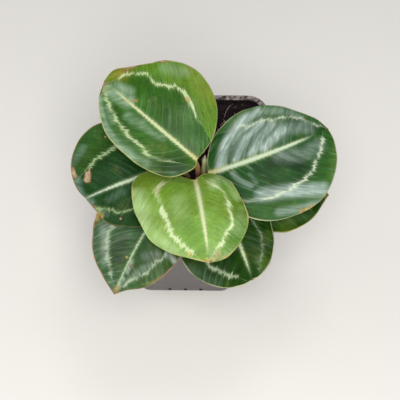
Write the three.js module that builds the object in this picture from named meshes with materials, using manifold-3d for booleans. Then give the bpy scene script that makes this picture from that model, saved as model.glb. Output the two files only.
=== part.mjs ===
// A young calathea in its square nursery pot: pot, potting soil, seven leaf blades on their
// stalks, and one new leaf that is still rolled up. Millimetres, +Z up, origin at the middle of
// the pot's underside. The front of the pot faces -Y.
import * as THREE from "three";
import { mergeVertices } from "three/addons/utils/BufferGeometryUtils.js";
import Module from "manifold-3d";

const wasm = await Module();
wasm.setup();

// ---- driving dimensions ----
const CLEAR = 0.3; // gap kept between pieces that touch

const POT_HEIGHT = 138;
const RIM_WIDTH = 125; // across the flats, over the lip
const FOOT_WIDTH = 78;
const RIM_RADIUS = 16; // rounded upright corners
const FOOT_RADIUS = 10;
const WALL = 1.6;
const LIP_DEPTH = 8;
const LIP_REACH = 3.5; // how far the lip stands out from the wall
const LIP_EDGE = 1; // small bevels along the lip
const FLOOR = 2.4;
const FOOT_BEVEL = 0.6; // small bevel round the foot

const DRAIN_WIDTH = 2.4;
const DRAIN_HEIGHT = 5;
const DRAIN_SILL = 1.2; // wall left standing under each slot
const DRAIN_DEPTH = 7;
const DRAIN_PITCH = 13;
const DRAINS_PER_SIDE = 3;

const SOIL_TOP = POT_HEIGHT - 9;
const SOIL_LUMP = 1.1;
const ROOT_DEPTH = 8; // how far the stalks stand in the soil
const ROOT_RADIUS = 2.2;

const BLADE_THICK = 0.8;
const KEEL = 1.2; // the midrib stands this far below the blade at its base
const BLADE_STEPS = 22; // along each half of the outline
const BLADE_ROWS = 4; // from the midrib out to the margin

const STALK_RADIUS = 1.25;
const KNEE_RADIUS = 1.65; // the swollen joint under each blade
const STALK_SIDES = 10;
const STALK_STEPS = 12;

// ---- colours ----
const GREEN_DARK = 0x2f4a26;
const GREEN_MID = 0x4c7a2c;
const GREEN_BRIGHT = 0x86ad3f;

// Each blade lies on its midrib, an arched curve from base to tip. arch and bow are how far its
// middle stands above and to the left of the straight line; roll tips the left half up, in
// degrees; fold lifts both halves into a shallow V, and sag lets their margins droop again.
// left and right are the outline of each half seen from above, looking from base to tip:
// [percent of the way along the midrib, mm out from it]. The right half is the wider one.
const LEAVES = [
  {
    name: "back_left", colour: GREEN_MID, root: [9, -5],
    base: [8, -21, 173], tip: [-59, 35, 189],
    arch: 6, bow: 3, roll: -15, fold: 0.12, sag: 0.002,
    left: [[-2, 7], [7, 22], [24, 29], [42, 30], [60, 29], [76, 23], [91, 12]],
    right: [[1, 19], [12, 37], [29, 46], [50, 49], [67, 43], [81, 31], [93, 19], [101, 10]],
    wave: 1.3, waves: 3.5,
  },
  {
    name: "right", colour: GREEN_DARK, root: [16, -7],
    base: [16, -20, 153], tip: [104, 18, 157],
    arch: 7, bow: -6, roll: 10, fold: 0.1, sag: 0.002,
    left: [[3, 13], [10, 25], [23, 33], [42, 38], [62, 36], [80, 26], [95, 13]],
    right: [[4, 16], [11, 32], [23, 44], [38, 50], [56, 49], [71, 43], [86, 29], [97, 12]],
    wave: 1.1, waves: 3,
  },
  {
    name: "front", colour: GREEN_BRIGHT, root: [8.5, -13],
    base: [7, -30, 160], tip: [17, -94, 157],
    arch: 8, bow: 0, roll: -2, fold: 0.18, sag: 0.003,
    left: [[-8, 6], [-6, 14], [5, 21], [23, 26], [46, 30], [66, 30], [84, 23], [97, 12]],
    right: [[-7, 9], [-16, 22], [-20, 34], [-8, 43], [13, 46], [34, 46], [54, 43], [72, 38],
      [86, 26], [94, 12]],
    wave: 1.2, waves: 3.5,
  },
  {
    name: "left", colour: GREEN_DARK, root: [1.5, -9],
    base: [-13, -16, 152], tip: [-71, -40, 150],
    arch: 5, bow: 1, roll: -12, fold: 0.12, sag: 0.0025,
    left: [[2, 12], [12, 25], [32, 33], [54, 35], [74, 30], [88, 23], [95, 10]],
    right: [[2, 14], [10, 30], [28, 44], [52, 49], [74, 47], [91, 38], [103, 24], [105, 10]],
    wave: 1.2, waves: 3,
  },
  {
    name: "front_left", colour: GREEN_DARK, root: [2, -16.5],
    base: [-11, -36, 146], tip: [-49, -103, 125],
    arch: 8, bow: -1, roll: 0, fold: 0.12, sag: 0.0025,
    left: [[2, 8], [12, 18], [30, 27], [52, 31], [70, 27], [84, 19], [93, 7]],
    right: [[2, 14], [10, 27], [26, 35], [48, 38], [66, 32], [80, 25], [91, 13]],
    wave: 1.1, waves: 3.5,
  },
  {
    name: "front_right", colour: GREEN_DARK, root: [15, -15.5],
    base: [24, -30, 144], tip: [48, -92, 128],
    arch: 7, bow: -1, roll: 0, fold: 0.12, sag: 0.0025,
    left: [[2, 9], [14, 20], [34, 27], [54, 27], [75, 23], [91, 16], [99, 6]],
    right: [[2, 9], [12, 22], [30, 34], [50, 42], [70, 41], [85, 34], [96, 23], [101, 10]],
    wave: 1.1, waves: 3,
  },
  {
    name: "low_right", colour: GREEN_MID, root: [22.5, -12],
    base: [29, -20, 140], tip: [106, -26, 135],
    arch: 3, bow: 0, roll: 3, fold: 0.12, sag: 0.0025,
    left: [[2, 12], [14, 24], [34, 31], [56, 31], [76, 24], [91, 12]],
    right: [[2, 14], [12, 29], [30, 37], [52, 37], [70, 32], [85, 22], [94, 9]],
    wave: 1, waves: 3,
  },
];

const SHOOT = { root: [13.5, 0], tip: [14, -3, 151], radius: 1.9 };

// ---- helpers ----
const up = new THREE.Vector3(0, 0, 1);

// One closed body from points and triangles; points that coincide become one.
function closedBody(points, triangles) {
  const rough = new THREE.BufferGeometry().setFromPoints(points);
  rough.setIndex(triangles.flat());
  const merged = mergeVertices(rough, 1e-3);
  const index = merged.index.array;
  const kept = [];
  for (let i = 0; i < index.length; i += 3) {
    const [a, b, c] = [index[i], index[i + 1], index[i + 2]];
    if (a !== b && b !== c && c !== a) {
      kept.push(a, b, c);
    }
  }
  merged.setIndex(kept);
  return merged;
}

// Skin over rings of equally many points, closed by a point at each end. The rings turn
// counter-clockwise round the way that they are stacked.
function skin(first, rings, last) {
  const count = rings[0].length;
  const points = [first, ...rings.flat(), last];
  const end = points.length - 1;
  const triangles = [];
  for (let k = 0; k < count; k++) {
    const next = (k + 1) % count;
    triangles.push([0, 1 + next, 1 + k]);
    for (let r = 0; r + 1 < rings.length; r++) {
      const low = 1 + r * count;
      const high = low + count;
      triangles.push([low + k, low + next, high + next]);
      triangles.push([low + k, high + next, high + k]);
    }
    const top = 1 + (rings.length - 1) * count;
    triangles.push([end, top + k, top + next]);
  }
  return closedBody(points, triangles);
}

function toManifold(geometry) {
  const bare = geometry.clone();
  bare.deleteAttribute("normal");
  bare.deleteAttribute("uv");
  const joined = mergeVertices(bare, 1e-4);
  return new wasm.Manifold(new wasm.Mesh({
    numProp: 3,
    vertProperties: Float32Array.from(joined.attributes.position.array),
    triVerts: Uint32Array.from(joined.index.array),
  }));
}

function fromManifold(solid) {
  const { vertProperties, triVerts } = solid.getMesh();
  const geometry = new THREE.BufferGeometry();
  geometry.setAttribute("position", new THREE.BufferAttribute(vertProperties, 3));
  geometry.setIndex(Array.from(triVerts));
  return geometry;
}

function named(name, geometry, colour, roughness) {
  geometry.computeVertexNormals();
  const material = new THREE.MeshStandardMaterial({ color: colour, roughness, metalness: 0 });
  const mesh = new THREE.Mesh(geometry, material);
  mesh.name = name;
  return mesh;
}

// ---- pot ----
const CORNER_STEPS = 6;

// Points round a square with rounded corners, counter-clockwise from above.
function squareRing(width, radius, z) {
  const ring = [];
  const middle = width / 2 - radius;
  for (let corner = 0; corner < 4; corner++) {
    const turn = (corner * Math.PI) / 2;
    const centre = new THREE.Vector2(middle, middle).rotateAround(new THREE.Vector2(), turn);
    for (let k = 0; k <= CORNER_STEPS; k++) {
      const angle = turn + (k / CORNER_STEPS) * (Math.PI / 2);
      const x = centre.x + radius * Math.cos(angle);
      const y = centre.y + radius * Math.sin(angle);
      ring.push(new THREE.Vector3(x, y, z));
    }
  }
  return ring;
}

const LIP_BOTTOM = POT_HEIGHT - LIP_DEPTH;
const NECK_WIDTH = RIM_WIDTH - 2 * LIP_REACH;

// The wall's outer face at height z, moved inwards by inset.
function wallRing(z, inset) {
  const share = z / LIP_BOTTOM;
  const width = THREE.MathUtils.lerp(FOOT_WIDTH, NECK_WIDTH, share);
  const radius = THREE.MathUtils.lerp(FOOT_RADIUS, RIM_RADIUS - LIP_REACH, share);
  return squareRing(width - 2 * inset, radius - inset, z);
}

function lipRing(inset, z) {
  return squareRing(RIM_WIDTH - 2 * inset, RIM_RADIUS - inset, z);
}

function drainCutters() {
  const cutters = [];
  for (let side = 0; side < 4; side++) {
    for (let k = 0; k < DRAINS_PER_SIDE; k++) {
      const along = (k - (DRAINS_PER_SIDE - 1) / 2) * DRAIN_PITCH;
      const cutter = new THREE.BoxGeometry(DRAIN_WIDTH, 2 * DRAIN_DEPTH, DRAIN_HEIGHT);
      cutter.translate(along, -FOOT_WIDTH / 2, DRAIN_SILL + DRAIN_HEIGHT / 2);
      cutter.rotateZ((side * Math.PI) / 2);
      cutters.push(cutter);
    }
  }
  return cutters;
}

function makePot() {
  const innerLip = LIP_REACH + WALL - LIP_EDGE;
  const rings = [
    wallRing(0, FOOT_BEVEL),
    wallRing(FOOT_BEVEL, 0),
    wallRing(LIP_BOTTOM, 0),
    lipRing(LIP_EDGE, LIP_BOTTOM),
    lipRing(0, LIP_BOTTOM + LIP_EDGE),
    lipRing(0, POT_HEIGHT - LIP_EDGE),
    lipRing(LIP_EDGE, POT_HEIGHT),
    lipRing(innerLip, POT_HEIGHT),
    lipRing(innerLip + LIP_EDGE, POT_HEIGHT - LIP_EDGE),
    wallRing(LIP_BOTTOM, WALL),
    wallRing(FLOOR, WALL),
  ];
  const below = new THREE.Vector3(0, 0, 0);
  const above = new THREE.Vector3(0, 0, FLOOR);
  let solid = toManifold(skin(below, rings, above));
  for (const cutter of drainCutters()) {
    solid = solid.subtract(toManifold(cutter));
  }
  return named("pot", fromManifold(solid), 0x2b2b2d, 0.55);
}

// ---- soil ----
const SOIL_RINGS = 7;

// Height of the loose soil surface above or below its mean.
function lump(x, y) {
  const broad = Math.sin(0.13 * x + 1.1) * Math.cos(0.11 * y - 0.4);
  const fine = Math.sin(0.31 * x - 0.27 * y) * Math.sin(0.24 * y + 0.35 * x + 2);
  return SOIL_LUMP * (0.6 * broad + 0.4 * fine);
}

function makeSoil(roots) {
  const inset = WALL + CLEAR;
  const rings = [wallRing(FLOOR + CLEAR, inset)];
  const edge = wallRing(SOIL_TOP, inset);
  for (let k = 0; k < SOIL_RINGS; k++) {
    const share = 1 - k / SOIL_RINGS;
    rings.push(edge.map((p) => {
      const [x, y] = [p.x * share, p.y * share];
      return new THREE.Vector3(x, y, k === 0 ? SOIL_TOP : SOIL_TOP + lump(x, y));
    }));
  }
  const below = new THREE.Vector3(0, 0, FLOOR + CLEAR);
  const above = new THREE.Vector3(0, 0, SOIL_TOP + lump(0, 0));
  let solid = toManifold(skin(below, rings, above));
  for (const [x, y] of roots) {
    const hole = new THREE.CylinderGeometry(ROOT_RADIUS + CLEAR, ROOT_RADIUS + CLEAR,
      2 * ROOT_DEPTH, 16);
    hole.rotateX(Math.PI / 2);
    hole.translate(x, y, SOIL_TOP);
    solid = solid.subtract(toManifold(hole));
  }
  return named("soil", fromManifold(solid), 0x33241f, 0.95);
}

// ---- leaf blades ----

// The midrib's curve, and the directions that the blade spreads in at a share u along it.
// Past either end the curve goes straight on.
function ribOf(leaf) {
  const base = new THREE.Vector3(...leaf.base);
  const tip = new THREE.Vector3(...leaf.tip);
  const side = new THREE.Vector3().crossVectors(up, tip.clone().sub(base)).setZ(0).normalize();
  const control = base.clone().add(tip).multiplyScalar(0.5)
    .addScaledVector(up, 2 * leaf.arch)
    .addScaledVector(side, 2 * leaf.bow);
  return new THREE.QuadraticBezierCurve3(base, control, tip);
}

function spreadAt(leaf, rib, u) {
  const inside = THREE.MathUtils.clamp(u, 0, 1);
  const slope = rib.v1.clone().sub(rib.v0).multiplyScalar(2 * (1 - inside))
    .addScaledVector(rib.v2.clone().sub(rib.v1), 2 * inside);
  const point = rib.getPoint(inside).addScaledVector(slope, u - inside);
  const along = slope.clone().normalize();
  const roll = THREE.MathUtils.degToRad(leaf.roll);
  const across = new THREE.Vector3().crossVectors(up, along).normalize()
    .applyAxisAngle(along, roll);
  const out = new THREE.Vector3().crossVectors(along, across);
  return { point, along, across, out };
}

const FOLD_ROUNDING = 3; // mm over which the V is rounded along the midrib

// Where the blade's middle layer lies at share u of the midrib and w mm out (left is positive).
function bladePoint(leaf, rib, u, w, lift) {
  const { point, across, out } = spreadAt(leaf, rib, u);
  const fold = leaf.fold * (Math.hypot(w, FOLD_ROUNDING) - FOLD_ROUNDING);
  return point.addScaledVector(across, w).addScaledVector(out, fold - leaf.sag * w * w + lift);
}

// Half of the outline, as a curve from the base to the tip.
function outlineOf(corners, side) {
  const ends = [[0, 0], ...corners, [100, 0]];
  return new THREE.SplineCurve(ends.map(([along, out]) => new THREE.Vector2(along, side * out)));
}

function makeBlade(leaf) {
  const rib = ribOf(leaf);
  const points = [];
  const triangles = [];
  for (const side of [1, -1]) {
    const outline = outlineOf(side > 0 ? leaf.left : leaf.right, side);
    const start = points.length;
    for (let i = 0; i <= BLADE_STEPS; i++) {
      const t = i / BLADE_STEPS;
      const edge = outline.getPointAt(t);
      for (let j = 0; j <= BLADE_ROWS; j++) {
        const v = j / BLADE_ROWS;
        const u = THREE.MathUtils.lerp(t, edge.x / 100, v);
        const w = edge.y * v;
        const swell = Math.sin(Math.PI * t);
        const wave = leaf.wave * v * v * swell * Math.sin(2 * Math.PI * leaf.waves * t + side);
        const keel = j === 0 ? KEEL * (1 - 0.75 * t) : 0;
        points.push(bladePoint(leaf, rib, u, w, wave + BLADE_THICK / 2));
        points.push(bladePoint(leaf, rib, u, w, wave - BLADE_THICK / 2 - keel));
      }
    }
    // Both faces are split alike; even numbers are the upper face.
    const at = (i, j, face) => start + 2 * (i * (BLADE_ROWS + 1) + j) + face;
    const add = (a, b, c) => triangles.push(side > 0 ? [a, b, c] : [a, c, b]);
    for (let i = 0; i < BLADE_STEPS; i++) {
      for (let j = 0; j < BLADE_ROWS; j++) {
        add(at(i, j, 0), at(i + 1, j, 0), at(i + 1, j + 1, 0));
        add(at(i, j, 0), at(i + 1, j + 1, 0), at(i, j + 1, 0));
        add(at(i, j, 1), at(i + 1, j + 1, 1), at(i + 1, j, 1));
        add(at(i, j, 1), at(i, j + 1, 1), at(i + 1, j + 1, 1));
      }
      const rim = BLADE_ROWS;
      add(at(i, rim, 0), at(i + 1, rim, 0), at(i + 1, rim, 1));
      add(at(i, rim, 0), at(i + 1, rim, 1), at(i, rim, 1));
    }
  }
  return named(`leaf_${leaf.name}`, closedBody(points, triangles), leaf.colour, 0.35);
}

// ---- stalks ----

// A round rod along a curve, its radius a function of the share of the way along.
function rod(curve, radiusAt, steps, sides) {
  const frames = curve.computeFrenetFrames(steps);
  const rings = [];
  for (let i = 0; i <= steps; i++) {
    const centre = curve.getPointAt(i / steps);
    const ring = [];
    for (let k = 0; k < sides; k++) {
      const angle = (2 * Math.PI * k) / sides;
      ring.push(centre.clone()
        .addScaledVector(frames.normals[i], radiusAt(i / steps) * Math.cos(angle))
        .addScaledVector(frames.binormals[i], radiusAt(i / steps) * Math.sin(angle)));
    }
    rings.push(ring);
  }
  return skin(curve.getPointAt(0), rings, curve.getPointAt(1));
}

const KNEE_LENGTH = 0.16; // share of the stalk that is its swollen joint

// Sheathed at the root, slender above, swollen again at the knee.
function stalkRadius(t) {
  const sheath = (ROOT_RADIUS - STALK_RADIUS) * (1 - THREE.MathUtils.smoothstep(t, 0.15, 0.6));
  const knee = (KNEE_RADIUS - STALK_RADIUS)
    * THREE.MathUtils.smoothstep(t, 1 - 2 * KNEE_LENGTH, 1 - KNEE_LENGTH);
  return STALK_RADIUS + sheath + knee;
}

// A stem's curve above the soil, with the upright length that stands in its hole added below.
function fromSoil(above) {
  const collar = above.getPoint(0);
  const root = collar.clone().setZ(SOIL_TOP - ROOT_DEPTH + CLEAR);
  const path = new THREE.CurvePath();
  path.add(new THREE.LineCurve3(root, collar));
  path.add(above);
  return path;
}

const SEAT = 1.5; // mm inside the blade's base where the stalk meets it

function makeStalk(leaf) {
  const rib = ribOf(leaf);
  const { along, out } = spreadAt(leaf, rib, 0);
  const end = new THREE.Vector3(...leaf.base)
    .addScaledVector(along, SEAT)
    .addScaledVector(out, -(BLADE_THICK / 2 + KEEL + CLEAR));
  const collar = new THREE.Vector3(...leaf.root, SOIL_TOP + SOIL_LUMP);
  const reach = end.distanceTo(collar);
  const curve = fromSoil(new THREE.CubicBezierCurve3(
    collar,
    collar.clone().addScaledVector(up, 0.5 * reach),
    end.clone().addScaledVector(out, -0.28 * reach),
    end,
  ));
  const geometry = rod(curve, stalkRadius, STALK_STEPS, STALK_SIDES);
  return named(`stalk_${leaf.name}`, geometry, 0x6f6a3c, 0.6);
}

function makeShoot() {
  const collar = new THREE.Vector3(...SHOOT.root, SOIL_TOP + SOIL_LUMP);
  const tip = new THREE.Vector3(...SHOOT.tip);
  const curve = fromSoil(new THREE.QuadraticBezierCurve3(
    collar,
    new THREE.Vector3(collar.x, collar.y, (collar.z + tip.z) / 2),
    tip,
  ));
  const radiusAt = (t) => SHOOT.radius * (1 - 0.8 * THREE.MathUtils.smoothstep(t, 0.6, 1));
  return named("young_shoot", rod(curve, radiusAt, STALK_STEPS, STALK_SIDES), 0x9aa86c, 0.5);
}

// ---- the plant in its pot ----
const plant = new THREE.Group();
plant.add(makePot());
plant.add(makeSoil([...LEAVES.map((leaf) => leaf.root), SHOOT.root]));
for (const leaf of LEAVES) {
  plant.add(makeStalk(leaf));
  plant.add(makeBlade(leaf));
}
plant.add(makeShoot());

export default plant;
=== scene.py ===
"""Looks of a young calathea in its square nursery pot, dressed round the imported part."""

import math
import random

import bmesh
import bpy
import numpy as np
from mathutils import Matrix, Vector, noise


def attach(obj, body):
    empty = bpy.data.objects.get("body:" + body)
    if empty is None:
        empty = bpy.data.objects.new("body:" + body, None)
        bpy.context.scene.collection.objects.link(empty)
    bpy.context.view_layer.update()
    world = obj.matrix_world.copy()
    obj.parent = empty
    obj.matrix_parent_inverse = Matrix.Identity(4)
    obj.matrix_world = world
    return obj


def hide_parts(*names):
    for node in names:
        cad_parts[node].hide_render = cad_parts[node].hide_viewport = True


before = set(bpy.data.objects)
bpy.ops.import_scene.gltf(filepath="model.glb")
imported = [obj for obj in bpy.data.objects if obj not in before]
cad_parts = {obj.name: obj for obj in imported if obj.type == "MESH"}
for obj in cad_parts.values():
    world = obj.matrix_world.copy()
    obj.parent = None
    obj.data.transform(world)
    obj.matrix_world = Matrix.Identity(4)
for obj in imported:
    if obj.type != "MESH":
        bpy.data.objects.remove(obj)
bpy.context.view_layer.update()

MM = 0.001
random.seed(7)

# ---- sizes shared with the part, in mm ----
POT_HEIGHT = 138
RIM_WIDTH = 125
FOOT_WIDTH = 78
RIM_RADIUS = 16
FOOT_RADIUS = 10
WALL = 1.6
LIP_DEPTH = 8
LIP_REACH = 3.5
LIP_EDGE = 1
FLOOR = 2.4
DRAIN_WIDTH = 2.4
DRAIN_HEIGHT = 5
DRAIN_SILL = 1.2
DRAIN_DEPTH = 7
DRAIN_PITCH = 13
DRAINS_PER_SIDE = 3
SOIL_TOP = 129
SOIL_LUMP = 1.1
ROOT_DEPTH = 8
ROOT_RADIUS = 2.2
STALK_RADIUS = 1.25
KNEE_RADIUS = 1.65
BLADE_THICK = 0.8
KEEL = 1.2
CLEAR = 0.3

# ---- sizes that only the looks use, in mm ----
FINE_VEINS = 1.15  # pitch of the veins across a blade
BROAD_VEINS = 4.4
PALE_VEINS = 6.5
SOIL_BANK = 6  # how far the soil is banked up along the wall
SLOT_SHADE_TOP = 8  # painted shade on what faces up below this height, in the drain slots

# Lateral veins leave the midrib slanting forward: at w mm out they have run
# LEAN * w + CURL * w * w mm towards the tip.
LEAN = 0.5
CURL = 0.015
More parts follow.
